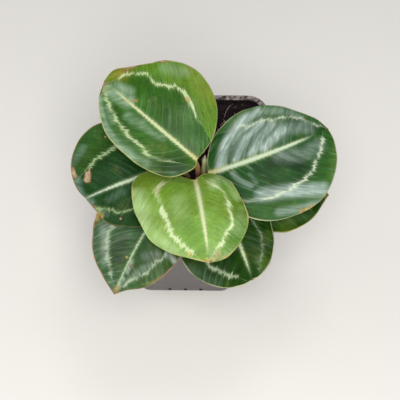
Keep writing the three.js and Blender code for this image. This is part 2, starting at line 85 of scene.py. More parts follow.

# Each blade's form is as in the part: root is where its stalk stands, base and tip are the ends
# of the midrib. arch lifts its middle and bow pushes it left, roll tips the left half up by so
# many degrees, fold bends both halves up and sag bends them down, and the margin has so many
# waves of up to wave mm. The outline of each half, left and right, is given as (percent along,
# mm out), and so is the line of the pale feathered band on it. The rest is for the looks of its
# faces, with colours in 0-255:
#   ink, stroke           how strong the band is and how far its strokes reach (left, right)
#   grain, thread, shine  strength of the fine streaks, of the pale side veins and of the gloss
#   rib_width, rib_end    how wide the cream midrib is, and the share of the blade where it ends
#   inner, outer_*        greens inside the band, and outside it on each half
#   rib, band, margin     the midrib, the band and the thin dry edge
#   painted_sheen, gold, husk
#                         painted sheen (its colour also draws the pale side veins), yellow-green
#                         patches and dead leaf
#   golds, sears, shade_and_deep_patches, dries, painted_sheens
#                         patches of yellow-green, ochre stain, painted shade with deeper green,
#                         dead leaf and painted sheen:
#                         (line that it lies along in (percent, mm), left positive; radius in mm;
#                         strength)
LEAVES = [
    dict(
        name="back_left", root=(9, -5), base=(8, -21, 173), tip=(-59, 35, 189), arch=6, bow=3, roll=-15,
        fold=0.12, sag=0.002, wave=1.3, waves=3.5,
        left=[(-2, 7), (7, 22), (24, 29), (42, 30), (60, 29), (76, 23), (91, 12)],
        right=[(1, 19), (12, 37), (29, 46), (50, 49), (67, 43), (81, 31), (93, 19), (101, 10)],
        band_left=[(14, 13), (24, 18), (35, 19.6), (47, 18.1), (61, 17.2), (75, 12.8), (85, 9.1),
            (93, 5)],
        band_right=[(18, 22.5), (31, 27.1), (45, 30.1), (55, 26.8), (65, 22.6), (77, 22.8), (87, 15.6),
            (91, 9)],
        ink=(0.85, 1), stroke=(1.45, 1.35), grain=0.9, thread=0.14, shine=0.2, rib_width=1.8,
        rib_end=0.95,
        inner=(46, 94, 18), outer_left=(56, 98, 44), outer_right=(86, 126, 32), painted_sheen=(148, 174, 142),
        gold=(132, 134, 50), rib=(190, 198, 146), band=(188, 204, 152), margin=(176, 172, 104),
        husk=(172, 146, 104),
        golds=[([(94, -13)], 10, 0.9), ([(96, 4)], 7, 0.9), ([(20, -40), (50, -46)], 7, 0.3)],
        sears=[([(98, -4), (95, -14), (90, -22)], 3, 0.35), ([(74, 1.6), (66, -4)], 1.8, 0.5),
            ([(36, -28.5), (34, -27.8)], 2.4, 0.9)],
        shade_and_deep_patches=[([(14, 19), (8, 12)], 11, 0.9), ([(30, -8), (55, -14)], 10, 0.35),
            ([(76, 9), (56, 15)], 3, 0.5)],
        dries=[([(98, 1)], 2.4, 1), ([(94, -14), (85, -28), (76, -36), (69, -40)], 1.3, 0.85),
            ([(93, 9), (97, 5)], 1.8, 0.7)],
        painted_sheens=[([(91, 3), (80, 1), (71, 0)], 7, 0.95), ([(88, -3), (76, -6)], 5, 0.8),
            ([(96, 7), (86, 15), (78, 19)], 3, 0.9), ([(90, 11), (74, 21), (59, 26)], 2.2, 0.7),
            ([(72, 24), (59, 28), (48, 30)], 4.5, 0.8), ([(80, 13), (68, 18)], 3.5, 0.5),
            ([(47, 29), (36, 28), (27, 26)], 4.5, 0.7), ([(62, 8), (49, 6)], 5, 0.55),
            ([(48, 7), (39, 6), (30, 4)], 3.5, 0.45), ([(68, -35), (52, -43)], 6, 0.35)],
    ),
    dict(
        name="right", root=(16, -7), base=(16, -20, 153), tip=(104, 18, 157), arch=7, bow=-6, roll=10,
        fold=0.1, sag=0.002, wave=1.1, waves=3,
        left=[(3, 13), (10, 25), (23, 33), (42, 38), (62, 36), (80, 26), (95, 13)],
        right=[(4, 16), (11, 32), (23, 44), (38, 50), (56, 49), (71, 43), (86, 29), (97, 12)],
        band_left=[(32, 26), (49, 25), (56, 24.2), (65, 22.6), (75, 19.6), (84, 15.6), (88, 11),
            (94, 5)],
        band_right=[(15, 26), (22, 30.1), (35, 31.6), (49, 30.8), (60, 28.9), (69, 24.6), (81, 14.3),
            (90, 5)],
        ink=(0.75, 0.95), stroke=(0.95, 1.3), grain=0.9, thread=0.14, shine=0.22, rib_width=2.5,
        rib_end=0.88,
        inner=(26, 74, 20), outer_left=(56, 96, 48), outer_right=(46, 92, 32), painted_sheen=(188, 204, 194),
        gold=(96, 130, 52), rib=(196, 210, 182), band=(204, 216, 186), margin=(176, 178, 134),
        husk=(166, 130, 92),
        golds=[([(80, -36), (94, -18)], 7, 0.4)],
        sears=[([(50, -49), (58, -49)], 2.2, 0.8)],
        shade_and_deep_patches=[([(44, -9), (55, -9), (63, -17)], 8, 0.8), ([(90, 4), (84, 9)], 3, 0.3),
            ([(6, -14), (10, -28)], 6, 0.6), ([(34, -5), (40, -20)], 5, 0.5)],
        dries=[([(87, 15)], 1.1, 0.9), ([(99, 1)], 2, 0.9)],
        painted_sheens=[([(24, 12), (42, 16), (60, 14)], 13, 0.3),
            ([(10, 2), (14, 11), (22, 21), (38, 30), (54, 33)], 5, 0.95),
            ([(24, 17), (33, 23), (46, 25)], 3.5, 0.6),
            ([(22, 4), (28, 11), (38, 18), (52, 24)], 4.4, 0.85),
            ([(34, 4), (46, 13), (60, 20)], 4.4, 0.7), ([(45, 5), (54, 9), (66, 13)], 5, 0.9),
            ([(66, 13), (76, 11), (86, 7)], 7, 0.42), ([(84, 16), (75, 25), (60, 31)], 4.5, 0.35),
            ([(17, -5), (20, -12), (26, -19)], 2.6, 0.4), ([(28, -10), (30, -18)], 2, 0.2),
            ([(31, -28), (43, -31), (56, -35), (69, -40)], 6.5, 0.9),
            ([(37, -44), (50, -47), (62, -48)], 4, 0.5), ([(54, -5), (70, -10), (84, -9)], 7.5, 0.3)],
    ),
    dict(
        name="front", root=(8.5, -13), base=(7, -30, 160), tip=(17, -94, 157), arch=8, bow=0, roll=-2,
        fold=0.18, sag=0.003, wave=1.2, waves=3.5,
        left=[(-8, 6), (-6, 14), (5, 21), (23, 26), (46, 30), (66, 30), (84, 23), (97, 12)],
        right=[(-7, 9), (-16, 22), (-20, 34), (-8, 43), (13, 46), (34, 46), (54, 43), (72, 38),
            (86, 26), (94, 12)],
        band_left=[(7, 9), (22, 15.9), (39, 18.2), (54, 20), (67, 17.3), (78, 12.7), (90, 5)],
        band_right=[(5, 23), (10, 26.5), (22, 29), (40, 27.1), (55, 24.3), (67, 23.4), (78, 18.2),
            (88, 11)],
        ink=(0.95, 1), stroke=(1.5, 2.1), grain=0.4, thread=0.1, shine=0.3, rib_width=2.4, rib_end=0.95,
        inner=(110, 151, 56), outer_left=(84, 126, 28), outer_right=(124, 160, 72),
        painted_sheen=(178, 204, 142), gold=(112, 152, 26), rib=(204, 212, 154), band=(208, 222, 168),
        margin=(188, 176, 112), husk=(178, 164, 82),
        golds=[([(-6, -34), (-6, -20)], 18, 0.9), ([(3, -14), (16, -20), (20, -32)], 11, 0.75),
            ([(2, 6), (10, 8)], 7, 0.35)],
        sears=[([(98, -2), (97, 3), (93, 6)], 3, 0.7), ([(98, 8), (95, 15), (86, 22)], 1.8, 0.5),
            ([(89, -12.5)], 2.4, 0.8), ([(4, -23), (12, -27), (18, -28.5)], 3.4, 0.42)],
        shade_and_deep_patches=[([(6, -26), (-1, -18), (6, -3)], 3, 0.35)],
        dries=[([(98.5, 1)], 1.6, 0.7), ([(91, -12)], 1, 0.5)],
        painted_sheens=[([(20, -43), (58, -42)], 9, 0.85), ([(30, -15), (45, -15)], 9, 0.35),
            ([(4, 14), (14, 12)], 6, 0.75), ([(70, 22), (50, 27)], 4, 0.2),
            ([(8, 19), (24, 23), (36, 26)], 3, 0.45), ([(66, -34), (82, -24)], 4, 0.4)],
    ),
    dict(
        name="left", root=(1.5, -9), base=(-13, -16, 152), tip=(-71, -40, 150), arch=5, bow=1, roll=-12,
        fold=0.12, sag=0.0025, wave=1.2, waves=3,
        left=[(2, 12), (12, 25), (32, 33), (54, 35), (74, 30), (88, 23), (95, 10)],
        right=[(2, 14), (10, 30), (28, 44), (52, 49), (74, 47), (91, 38), (103, 24), (105, 10)],
        band_left=[(3, 6), (16, 16), (34, 22), (55, 22.5), (65, 21), (75, 18), (84, 14), (92, 10)],
        band_right=[(3, 8), (14, 19), (30, 26), (46, 26.9), (63, 24.5), (72, 24.2), (77, 22.4),
            (84, 20.1)],
        ink=(0.7, 0.85), stroke=(1.1, 1.5), grain=1, thread=0.06, shine=0.15, rib_width=2.1,
        rib_end=1.1,
        inner=(24, 62, 20), outer_left=(28, 62, 20), outer_right=(44, 84, 32), painted_sheen=(126, 152, 134),
        gold=(110, 118, 50), rib=(184, 200, 172), band=(160, 184, 130), margin=(146, 122, 80),
        husk=(178, 158, 126),
        golds=[([(92, 14)], 6, 0.5)],
        sears=[([(95, 12), (91, 17)], 3.3, 0.65), ([(100, 4), (96, 10)], 2, 0.5)],
        shade_and_deep_patches=[([(40, -10)], 12, 0.3)],
        dries=[([(83.5, -19), (86, -16.5)], 1.6, 0.9), ([(87.5, -15.5), (90.5, -12)], 3.7, 1),
            ([(101.5, -24), (101.5, -18.5)], 2.5, 0.9), ([(94, 8)], 2, 0.7), ([(54, -37)], 1.4, 0.95),
            ([(70, -38)], 0.9, 0.7), ([(53, -7)], 0.8, 0.6), ([(72, 25)], 1.3, 0.9)],
        painted_sheens=[([(102, -14), (105, -3), (97, 5)], 5, 0.6), ([(60, 6), (76, 8)], 4, 0.25),
            ([(82, -36), (97, -28)], 4, 0.4), ([(92, 12), (84, 18)], 3, 0.35)],
    ),
    dict(
        name="front_left", root=(2, -16.5), base=(-11, -36, 146), tip=(-49, -103, 125), arch=8, bow=-1,
        roll=0, fold=0.12, sag=0.0025, wave=1.1, waves=3.5,
        left=[(2, 8), (12, 18), (30, 27), (52, 31), (70, 27), (84, 19), (93, 7)],
        right=[(2, 14), (10, 27), (26, 35), (48, 38), (66, 32), (80, 25), (91, 13)],
        band_left=[(3, 5), (14, 13), (32, 20), (51, 21.4), (62, 18.2), (69, 17), (76, 13.8), (83, 8),
            (89, 4.5)],
        band_right=[(3, 8), (14, 17), (32, 22), (51, 22.4), (62, 21.9), (70, 18.2), (83, 11), (88, 7)],
        ink=(0.75, 0.64), stroke=(1.3, 1.8), grain=1, thread=0.2, shine=0.3, rib_width=1, rib_end=1.06,
        inner=(44, 80, 38), outer_left=(56, 92, 46), outer_right=(54, 88, 50), painted_sheen=(160, 174, 158),
        gold=(120, 124, 60), rib=(168, 190, 146), band=(180, 196, 164), margin=(168, 124, 92),
        husk=(170, 144, 112),
        golds=[],
        sears=[([(47, -38), (51, -36)], 3.5, 0.7), ([(83, 16), (78, 22), (70, 26)], 2.2, 0.4),
            ([(98, 0), (94, 1)], 3, 0.5), ([(69, -2.8)], 1.4, 0.8)],
        shade_and_deep_patches=[([(58, -12), (72, -8)], 7, 0.5)],
        dries=[([(98, -1)], 2.6, 0.9), ([(76, 25), (64, 29.5), (52, 31.5)], 1.3, 0.8),
            ([(75, 7)], 1.2, 0.6), ([(69, 2.6), (74, 3.4)], 2.2, 0.6),
            ([(55, -35), (60, -34)], 1.2, 0.7), ([(84, -22.5)], 1.5, 0.7), ([(90, -15)], 1.2, 0.6)],
        painted_sheens=[([(70, 2), (80, 2.3)], 2.4, 0.7), ([(86, 1.5), (93, 1)], 2.6, 0.6),
            ([(52, -8), (58, -14)], 3, 0.15), ([(56, -28), (66, -22), (80, -15)], 4.5, 0.5),
            ([(40, -32), (52, -26)], 5, 0.45), ([(62, 9), (56, 16)], 5, 0.4),
            ([(76, 10), (64, 15)], 4, 0.35), ([(51, 23), (54, 30)], 3, 0.9),
            ([(86, 5), (70, 12)], 3, 0.3)],
    ),
    dict(
        name="front_right", root=(15, -15.5), base=(24, -30, 144), tip=(48, -92, 128), arch=7, bow=-1,
        roll=0, fold=0.12, sag=0.0025, wave=1.1, waves=3,
        left=[(2, 9), (14, 20), (34, 27), (54, 27), (75, 23), (91, 16), (99, 6)],
        right=[(2, 9), (12, 22), (30, 34), (50, 42), (70, 41), (85, 34), (96, 23), (101, 10)],
        band_left=[(3, 5), (16, 11), (32, 14.6), (48, 15.6), (58, 15.6), (69, 16), (77, 14.3),
            (83, 10.8), (94, 7)],
        band_right=[(3, 6), (14, 15), (34, 23), (56, 27), (72, 26), (77, 25), (85, 18), (92, 11)],
        ink=(0.36, 0.8), stroke=(0.8, 1.6), grain=1, thread=0.14, shine=0.06, rib_width=2.4, rib_end=1,
        inner=(26, 62, 8), outer_left=(22, 56, 4), outer_right=(30, 64, 12), painted_sheen=(140, 164, 144),
        gold=(84, 116, 48), rib=(180, 196, 150), band=(176, 192, 154), margin=(184, 184, 140),
        husk=(160, 140, 104),
        golds=[([(90, 12)], 7, 0.5), ([(62, 22), (70, 20)], 4, 0.3)],
        sears=[([(97, 9), (88, 19)], 1.6, 0.4)],
        shade_and_deep_patches=[([(60, -12)], 12, 0.3)],
        dries=[([(100, 0)], 1.6, 0.8)],
        painted_sheens=[([(70, -41), (90, -27)], 4, 0.12), ([(85, 8)], 4, 0.1)],
    ),
    dict(
        name="low_right", root=(22.5, -12), base=(29, -20, 140), tip=(104.6, -26, 135), arch=3, bow=0,
        roll=3, fold=0.12, sag=0.0025, wave=1, waves=3,
        left=[(2, 12), (14, 24), (34, 31), (56, 31), (76, 24), (91, 12)],
        right=[(2, 14), (12, 29), (30, 37), (52, 37), (70, 32), (85, 22), (94, 9)],
        band_left=[(3, 7), (16, 15), (34, 20), (56, 20), (76, 14), (90, 6)],
        band_right=[(3, 8), (14, 18), (32, 23), (50, 22), (68, 18), (82, 12), (90, 6)],
        ink=(0.8, 0.8), stroke=(1.3, 1.3), grain=0.8, thread=0.1, shine=0.06, rib_width=0.9,
        rib_end=0.9,
        inner=(26, 60, 6), outer_left=(22, 56, 4), outer_right=(26, 60, 6), painted_sheen=(120, 156, 96),
        gold=(100, 130, 44), rib=(170, 192, 126), band=(196, 210, 160), margin=(186, 180, 110),
        husk=(160, 120, 84),
        golds=[([(60, -34)], 10, 0.3)],
        sears=[([(97, 2), (97, -4)], 2.4, 0.5)],
        shade_and_deep_patches=[],
        dries=[([(99, 0)], 1.4, 0.6)],
        painted_sheens=[([(50, -28), (80, -20)], 6, 0.25)],
    ),
]
SHOOT = dict(root=(13.5, -3.2), tip=(14, -3, 151), radius=1.9)


# ---- shader helpers ----
def tint(colour):
    """0-255 display values to the linear ones that sockets take."""
    shares = [c / 255 for c in colour]
    return (*[s / 12.92 if s < 0.04045 else ((s + 0.055) / 1.055) ** 2.4 for s in shares], 1)


class Flow:
    """A node's output. Arithmetic on it adds the Math nodes that do the same."""

    def __init__(self, sheet, socket):
        self.sheet, self.socket = sheet, socket

    def __add__(self, other):
        return self.sheet.math("ADD", self, other)

    def __sub__(self, other):
        return self.sheet.math("SUBTRACT", self, other)

    def __rsub__(self, other):
        return self.sheet.math("SUBTRACT", other, self)

    def __mul__(self, other):
        return self.sheet.math("MULTIPLY", self, other)

    def __truediv__(self, other):
        return self.sheet.math("DIVIDE", self, other)

    def __gt__(self, other):
        return self.sheet.math("GREATER_THAN", self, other)

    def __abs__(self):
        return self.sheet.math("ABSOLUTE", self)

    def clamped(self):
        """Holds the Math node's result between 0 and 1."""
        self.socket.node.use_clamp = True
        return self


class Sheet:
    """The nodes of one material or group, placed and joined."""

    def __init__(self, tree):
        self.tree = tree

    def add(self, kind, inputs=None, **settings):
        """A node with its settings and inputs; its outputs by name and by number."""
        node = self.tree.nodes.new(kind)
        for key, value in settings.items():
            setattr(node, key, value)
        for key, value in (inputs or {}).items():
            self.feed(node.inputs[key], value)
        flows = [Flow(self, socket) for socket in node.outputs]
        return dict(enumerate(flows)) | {flow.socket.name: flow for flow in flows}

    def feed(self, socket, value):
        if isinstance(value, Flow):
            self.tree.links.new(value.socket, socket)
        elif isinstance(value, tuple) and len(value) == 3 and socket.type == "RGBA":
            socket.default_value = tint(value)
        else:
            socket.default_value = value

    def math(self, operation, *values):
        return self.add("ShaderNodeMath", dict(enumerate(values)), operation=operation)[0]

    def ramp(self, value, low, high, start=0.0, end=1.0, kind="SMOOTHSTEP"):
        """value from low..high laid over start..end, held at both ends."""
        laid = dict(enumerate((value, low, high, start, end)))
        return self.add("ShaderNodeMapRange", laid, interpolation_type=kind)[0]

    def mix(self, share, first, second, blend="MIX"):
        laid = {0: share, 6: first, 7: second}
        return self.add("ShaderNodeMix", laid, data_type="RGBA", blend_type=blend)[2]

    def shade(self, colour, by):
        return self.mix(1.0, colour, by, "MULTIPLY")

    def noise(self, scale, detail, where, rough=0.55, dimensions="3D"):
        laid = {"Scale": scale, "Detail": detail, "Roughness": rough}
        laid["W" if dimensions == "1D" else "Vector"] = where
        return self.add("ShaderNodeTexNoise", laid, noise_dimensions=dimensions)[0]

    def place(self):
        return self.add("ShaderNodeTexCoord")["Object"]

    def normal(self):
        return self.add("ShaderNodeNewGeometry")["Normal"]

    def split(self, vector):
        """The x, y and z of a vector."""
        parts = self.add("ShaderNodeSeparateXYZ", {0: vector})
        return [parts[k] for k in range(3)]

    def flat(self, x, y):
        return self.add("ShaderNodeCombineXYZ", {0: x, 1: y})[0]

    def read(self, name, output="Fac"):
        """A value painted on the mesh."""
        return self.add("ShaderNodeAttribute", attribute_name=name)[output]

    def use(self, group, **inputs):
        return self.add("ShaderNodeGroup", node_tree=group, inputs=inputs)

    def give(self, **results):
        """Makes a group's outputs and feeds them."""
        for key in results:
            self.tree.interface.new_socket(
                key, in_out="OUTPUT", socket_type="NodeSocketFloat")
        self.add("NodeGroupOutput", results)
        return self.tree

    def coat(self, shader, colour, rough, relief, strength, depth):
        """Feeds a surface's colour, roughness and relief, which is depth mm deep."""
        bump = {"Strength": strength, "Distance": depth * MM, "Height": relief}
        self.feed(shader["Base Color"], colour)
        self.feed(shader["Roughness"], rough)
        self.feed(shader["Normal"], self.add("ShaderNodeBump", bump)[0])


def new_group(name, **inputs):
    """An empty group with its inputs and their start values."""
    tree = bpy.data.node_groups.new(name, "ShaderNodeTree")
    for key, value in inputs.items():
        made = tree.interface.new_socket(key, in_out="INPUT", socket_type="NodeSocketFloat")
        made.default_value = value
    sheet = Sheet(tree)
    return sheet, sheet.add("NodeGroupInput")


def slanting_veins_group():
    """Lateral veins that leave the midrib slanting forward, at an even pitch in mm."""
    s, given = new_group("Slanting veins", Along=0, Across=0, Lean=LEAN, Curl=CURL, Pitch=2,
                         Wander=0.5)
    out = abs(given["Across"])
    start = given["Along"] - (given["Curl"] * out + given["Lean"]) * out
    start = start + (given["Across"] > 0) * 137.3
    wander = s.noise(0.31, 2, start, dimensions="1D") - 0.5
    phase = (wander * given["Wander"] + start) / given["Pitch"]
    tent = 1 - abs(s.math("FRACT", phase) * 2 - 1)
    brushed = s.noise(0.9, 3, s.flat(phase, out * 0.1), 0.6, "2D")
    return s.give(Phase=phase, Ridge=s.ramp(tent, 0, 1), Line=s.ramp(tent, 0, 0.4, 1, 0),
                  Tone=s.ramp(brushed, 0.3, 0.7))


def feathered_band_group(veins):
    """A pale ribbon along the band's line, its edges torn into short strokes along the veins."""
    s, given = new_group("Feathered band", Gap=0, Along=0, Across=0, Pitch=1.3, Reach=1.7,
                         Ragged=7, Wash=0.25)
    stroke = s.use(veins, Along=given["Along"], Across=given["Across"], Pitch=given["Pitch"],
                   Wander=1.4)
    phase = stroke["Phase"]
    jag = s.noise(0.75, 3, s.flat(phase, abs(given["Across"]) * 0.2), 0.7, "2D") - 0.5
    calm = s.ramp(s.noise(0.28, 2, phase + 57, dimensions="1D"), 0.36, 0.64, 0.3, 1.3)
    drift = s.noise(0.12, 1, phase, dimensions="1D") - 0.5
    off = abs(given["Gap"] - (jag * given["Ragged"] * calm + drift * 4))
    full = s.ramp(s.noise(0.24, 3, phase, 0.7, "1D"), 0.34, 0.62, 0.42, 1.2)
    body = s.ramp(off / (given["Reach"] * full), 0.35, 1.25, 1, 0)
    spine = s.ramp(stroke["Ridge"], 0, 0.7, 0.72, 1)
    wash = s.ramp(off, 0, 3.2, 1, 0) * given["Wash"]
    faint = s.ramp(s.noise(0.075, 2, phase, dimensions="1D"), 0.36, 0.5, 0.35, 1)
    return s.give(Mask=(s.math("MAXIMUM", body * spine, wash) * faint).clamped())


def mottle_group():
    """Slow uneven tone over a surface, about 1."""
    s, given = new_group("Mottle", Scale=60, Amount=0.15)
    spread = s.noise(given["Scale"], 4, s.place())
    return s.give(Tone=(spread - 0.5) * given["Amount"] + 1, Height=spread)


def dead_patch_group():
    """A painted patch with a torn edge: the dead middle and the darker rim round it."""
    s, given = new_group("Dead patch", Patch=0, Torn=0.5)
    where = s.place()
    coarse = s.noise(210, 3, where, 0.6) - 0.5
    fine = s.noise(900, 3, where, 0.6) - 0.5
    level = (fine * 0.45 + coarse * 1.1) * given["Torn"] + given["Patch"]
    level = level * (given["Patch"] > 0.02)
    rim = s.ramp(level, 0.26, 0.45) - s.ramp(level, 0.45, 0.66)
    return s.give(Dead=s.ramp(level, 0.4, 0.62), Rim=rim.clamped(),
                  Core=s.ramp(level, 0.55, 0.95))


def settled_dust_group():
    """Where dust and dried splashes lie: more on faces that look up, broken into blotches."""
    s, given = new_group("Settled dust", Amount=0.5, Scale=90, Ledge=0.5)
    where = s.place()
    blotch = s.ramp(s.noise(given["Scale"], 6, where, 0.62), 0.36, 0.66)
    speck = s.ramp(s.noise(given["Scale"] * 9, 2, where), 0.56, 0.7)
    ledge = s.ramp(s.split(s.normal())[2], 0.2, 0.9) * given["Ledge"]
    dusty = blotch * given["Amount"] + ledge + speck * (given["Amount"] * 0.5)
    return s.give(Mask=dusty.clamped())


VEINS = slanting_veins_group()
BAND = feathered_band_group(VEINS)
MOTTLE = mottle_group()
DEAD = dead_patch_group()
DUST = settled_dust_group()


def new_material(name):
    material = bpy.data.materials.new(name)
    material.use_nodes = True
    shader = material.node_tree.nodes["Principled BSDF"]
    return material, Sheet(material.node_tree), shader.inputs


# ---- leaf materials ----
def on_the_blade(s):
    """Where a point lies on its blade, in mm and as a share, and the veins there."""
    along, across, share = s.split(s.read("blade_mm", "Vector"))
    veins = [s.use(VEINS, Along=along, Across=across, Pitch=pitch, Wander=wander)
             for pitch, wander in ((FINE_VEINS, 1.2), (BROAD_VEINS, 3.5))]
    return along, across, share, *veins


def upper_face(leaf):
    """Waxy upper face: two greens, feathered band, cream midrib, thin dry margin, with painted sheen
    and painted shade laid into the colour.
    """
    material, s, shader = new_material(f"upper_face_{leaf['name']}")
    where = s.place()
    along, across, share, fine, broad = on_the_blade(s)
    mottle = s.use(MOTTLE, Scale=75, Amount=0.8)
    uneven = (mottle["Height"] - 0.5) * 1.2
    feather = fine["Tone"] - 0.5
    gap = s.read("band_gap")
    left = across > 0

    rim_green = s.mix(left, leaf["outer_right"], leaf["outer_left"])
    green = s.mix(s.ramp(feather * 4 + gap, -4, 6), leaf["inner"], rim_green)
    green = s.mix(s.read("gold"), green, leaf["gold"])
    # painted shade in folds and dips, with deeper green: the green is darkened where painted
    green = s.mix(s.read("shade_and_deep_green") * 0.8, green, s.shade(green, (132, 140, 136)))
    sallow = s.shade(green, (255, 242, 196))
    green = s.mix(s.ramp(s.noise(30, 3, where), 0.4, 0.6), green, sallow)
    streaks = fine["Tone"] * 0.26 - 0.25 - fine["Line"] * 0.08 + broad["Tone"] * 0.24
    green = s.shade(green, (streaks * leaf["grain"] + 1) * mottle["Tone"])
    pores = s.noise(560, 4, where, 0.7) - 0.5
    green = s.shade(green, pores * 0.9 + 1)

    lateral = s.use(VEINS, Along=along, Across=across, Pitch=PALE_VEINS, Wander=5)["Line"]
    thread = s.ramp(lateral, 0.6, 0.95, 0, leaf["thread"])
    thread = thread * s.ramp(s.noise(38, 3, where, 0.6), 0.42, 0.6)
    # pale side veins, drawn in the colour of the painted sheen
    green = s.mix(thread, green, leaf["painted_sheen"])
    # painted sheen: a pale reflection colour laid along the veins where it is painted
    sheen_level = s.ramp(broad["Tone"], 0, 1, 0.6, 1) * s.ramp(fine["Tone"], 0, 1, 0.7, 1)
    sheen_level = sheen_level * s.read("painted_sheen") * s.ramp(mottle["Height"], 0.36, 0.6, 0.75, 1)
    green = s.mix((sheen_level * 1.15).clamped(), green, leaf["painted_sheen"])

    def by_half(key):
        """A leaf's pair of values laid over its two halves."""
        on_left, on_right = leaf[key]
        return s.ramp(left, 0, 1, on_right, on_left, "LINEAR")

    band = s.use(BAND, Gap=gap, Along=along, Across=across, Reach=by_half("stroke"))["Mask"]
    lit = s.mix(band * by_half("ink"), green, leaf["band"])

    out = abs(across)
    half = s.math("POWER", (1 - share).clamped(), 0.8) * s.ramp(share, 0, 0.35, 0.62, 1)
    half = half * leaf["rib_width"] + 0.12
    rib = s.ramp(out - (uneven + half + feather * 0.9), -0.45, 0.45, 1, 0)
    glow = s.ramp(out - half, 0, 2, 0.25, 0)
    cream = s.mix(s.ramp(out, 0.3, 1.8), leaf["rib"], (160, 178, 128))
    cream = s.mix(s.ramp(share, 0.02, 0.15, 0.75, 0), cream, (186, 178, 112))
    runs_out = s.ramp(share, leaf["rib_end"] - 0.2, leaf["rib_end"], 1, 0)
    lit = s.mix(s.math("MAXIMUM", rib, glow) * runs_out, lit, cream)

    edge = s.ramp(mottle["Height"] * 1.4 + s.read("margin_mm"), 0.95, 1.5, 1, 0)
    bare = s.ramp(s.noise(22, 3, where, 0.6), 0.42, 0.58, 0.25, 0.95)
    lit = s.mix(edge * bare, lit, leaf["margin"])
    ochre = s.mix(s.ramp(s.noise(260, 3, where), 0.35, 0.65), (196, 176, 98), (158, 120, 62))
    lit = s.mix(s.ramp(uneven + s.read("sere"), 0.05, 0.95, 0, 0.85), lit, ochre)

    dead = s.use(DEAD, Patch=s.read("dry"), Torn=1.2)
    husk = s.mix(dead["Core"], s.shade(leaf["husk"], (196, 186, 170)), leaf["husk"])
    brittle = s.ramp(s.noise(600, 4, where, 0.7), 0.4, 0.62, 0, 0.55)
    lit = s.mix(dead["Dead"], lit, s.mix(brittle, husk, (120, 92, 60)))
    lit = s.mix(dead["Rim"] * 0.55, lit, (104, 74, 44))

    shader["Specular IOR Level"].default_value = leaf["shine"]
    shader["Coat Weight"].default_value = leaf["shine"] / 4
    shader["Coat Roughness"].default_value = 0.25
    gloss = mottle["Height"] * 0.3 + 0.22 + dead["Dead"] * 0.4
    relief = fine["Tone"] * 1.6 + rib * 1.5 + s.noise(420, 3, where) * 2.2 - dead["Dead"] * 1.5
    s.coat(shader, lit, gloss, relief, strength=0.35, depth=0.12)
    return material


def underside():
    """Wine-red back of the blades, with paler raised veins."""
    material, s, shader = new_material("wine_red_underside")
    _, across, share, fine, broad = on_the_blade(s)
    wine = s.mix(s.ramp(s.read("margin_mm"), 0, 16), (122, 66, 74), (98, 38, 52))
    mottle = s.use(MOTTLE, Scale=70, Amount=0.6)["Tone"]
    wine = s.shade(wine, (fine["Tone"] * 0.25 + 0.85) * mottle)
    wine = s.mix(broad["Line"] * 0.3, wine, (150, 92, 96))
    half = (1 - share).clamped() * 0.9 + 0.3
    wine = s.mix(s.ramp(abs(across) - half, -0.3, 0.4, 1, 0) * 0.8, wine, (150, 142, 88))
    dead = s.use(DEAD, Patch=s.read("dry"), Torn=0.55)["Dead"]
    wine = s.mix(dead, wine, (160, 116, 80))
    relief = fine["Line"] * 0.5 + broad["Line"]
    s.coat(shader, wine, fine["Tone"] * 0.1 + 0.5, relief, strength=0.4, depth=0.15)
    return material


def stalk_skin(name, foot, stem, knee, blush, turn):
    """Stalk: papery sheath at the foot, smooth stem, swollen tan knee with a red flank."""
    material, s, shader = new_material(name)
    share = s.read("rise")
    grain = s.noise(620, 3, s.place())
    skin = s.mix(s.ramp(share, 0.08, 0.4), foot, stem)
    skin = s.mix(s.ramp(share, *turn), skin, knee)
    skin = s.mix(s.read("flank") * 0.85, skin, blush)
    skin = s.shade(skin, s.use(MOTTLE, Scale=160, Amount=0.5)["Tone"])
    skin = s.mix(s.ramp(grain, 0.56, 0.68, 0, 0.35), skin, (196, 176, 128))
    dust = s.use(DUST, Amount=0.2, Scale=220, Ledge=0.0)["Mask"]
    skin = s.mix(dust * 0.4, skin, (150, 138, 112))
    s.coat(shader, skin, dust * 0.25 + 0.45, grain, strength=0.3, depth=0.1)
    return material


